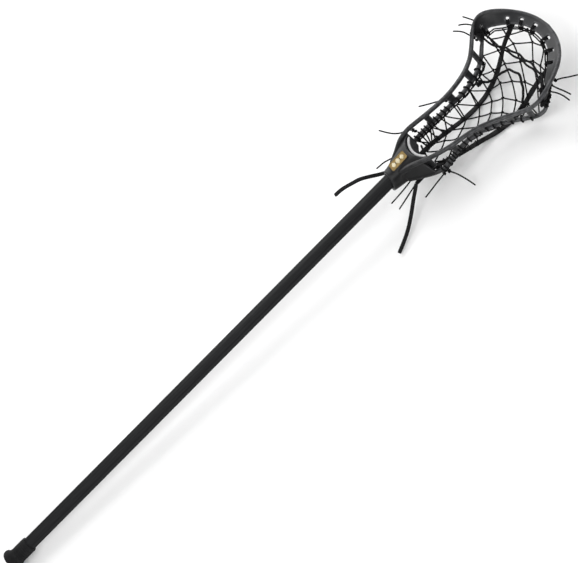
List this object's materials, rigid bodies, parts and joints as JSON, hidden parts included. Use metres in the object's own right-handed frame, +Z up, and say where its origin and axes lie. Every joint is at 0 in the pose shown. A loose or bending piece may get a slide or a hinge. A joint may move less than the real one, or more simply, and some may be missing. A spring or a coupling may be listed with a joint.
{
  "type": "lacrosse stick",
  "caption": "Lacrosse stick: eight-sided hollow shaft, rubber butt cap, moulded head with windows, laced pocket with thongs, diamond net, shooting strings and free lace ends.",
  "frame": {"origin": "on the ground under the middle of the stick's length, which rests on the butt cap's rim and the underside of the pocket", "axes": "+X from the butt cap to the scoop, leaning up 2.4 degrees; +Z up, the side that the pocket opens to; +Y to the left seen from the butt"},
  "size_m": [1.09, 0.2126, 0.0773],
  "materials": {
    "shaft": "satin dark charcoal anodising",
    "rubber": "matte black rubber",
    "head_plastic": "satin moulded charcoal nylon",
    "steel": "black-oxide steel",
    "gold": "brushed gold plate",
    "foam": "closed-cell foam",
    "thong": "black leather-like strap",
    "lace": "black braided nylon",
    "string": "black braided nylon, waxed"
  },
  "bodies": {
    "stick": {"shaft": "shaft", "head_frame": "head_plastic", "throat_badge": "gold", "ball_stop": "foam", "left_thong": "thong", "right_thong": "thong", "cross_lace": "lace", "left_sidewall_lace": "lace", "right_sidewall_lace": "lace", "top_string": "lace", "throat_string": "lace", "shooting_string_front": "string", "shooting_string_rear": "string", "shooting_string_v": "string", "tail_scoop_left_a": "string", "tail_scoop_left_b": "string", "tail_scoop_left_c": "string", "tail_wall_left_a": "string", "tail_wall_left_b": "string", "tail_badge_side": "string", "tail_throat_a": "string", "tail_throat_b": "string", "tail_wall_right_low": "string", "tail_wall_right_drop": "string", "tail_scoop_right_a": "string", "tail_scoop_right_b": "string", "tail_scoop_right_c": "string", "tail_thong_left": "thong", "tail_thong_right": "thong"},
    "cap": {"butt_cap": "rubber"},
    "screw": {"head_screw": "steel"}
  },
  "joints": [
    {"name": "cap_pull", "type": "slide", "parent": "stick", "child": "cap", "axis": [-0.9991, 0, -0.0416], "range_m": [0, 0.04]},
    {"name": "screw_out", "type": "slide", "parent": "stick", "child": "screw", "axis": [0.0416, 0, -0.9991], "range_m": [0, 0.014]}
  ]
}
